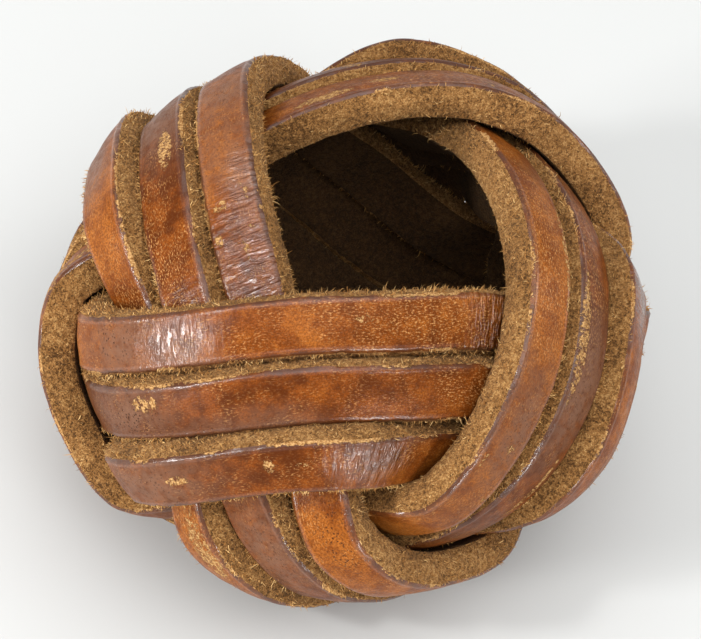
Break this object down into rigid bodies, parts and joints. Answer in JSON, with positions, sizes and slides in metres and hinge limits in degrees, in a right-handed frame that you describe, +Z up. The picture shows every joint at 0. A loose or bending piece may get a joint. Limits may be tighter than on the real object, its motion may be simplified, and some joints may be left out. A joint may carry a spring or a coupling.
{
  "type": "woven leather knot slide",
  "caption": "Hollow ball-shaped Turk's head knot plaited from parallel flat leather laces, open at top and bottom so that a rolled cloth or cord passes through.",
  "frame": {"origin": "middle of the base, on the surface that the knot stands on", "axes": "+Z up along the open way through the middle; +X and +Y across it"},
  "size_m": [0.0496, 0.0476, 0.0333],
  "materials": {
    "leather": "waxed cognac grain side with raw suede cut edges and scuffs"
  },
  "bodies": {
    "root": {"upper_lace": "leather", "middle_lace": "leather", "lower_lace": "leather"}
  },
  "joints": []
}
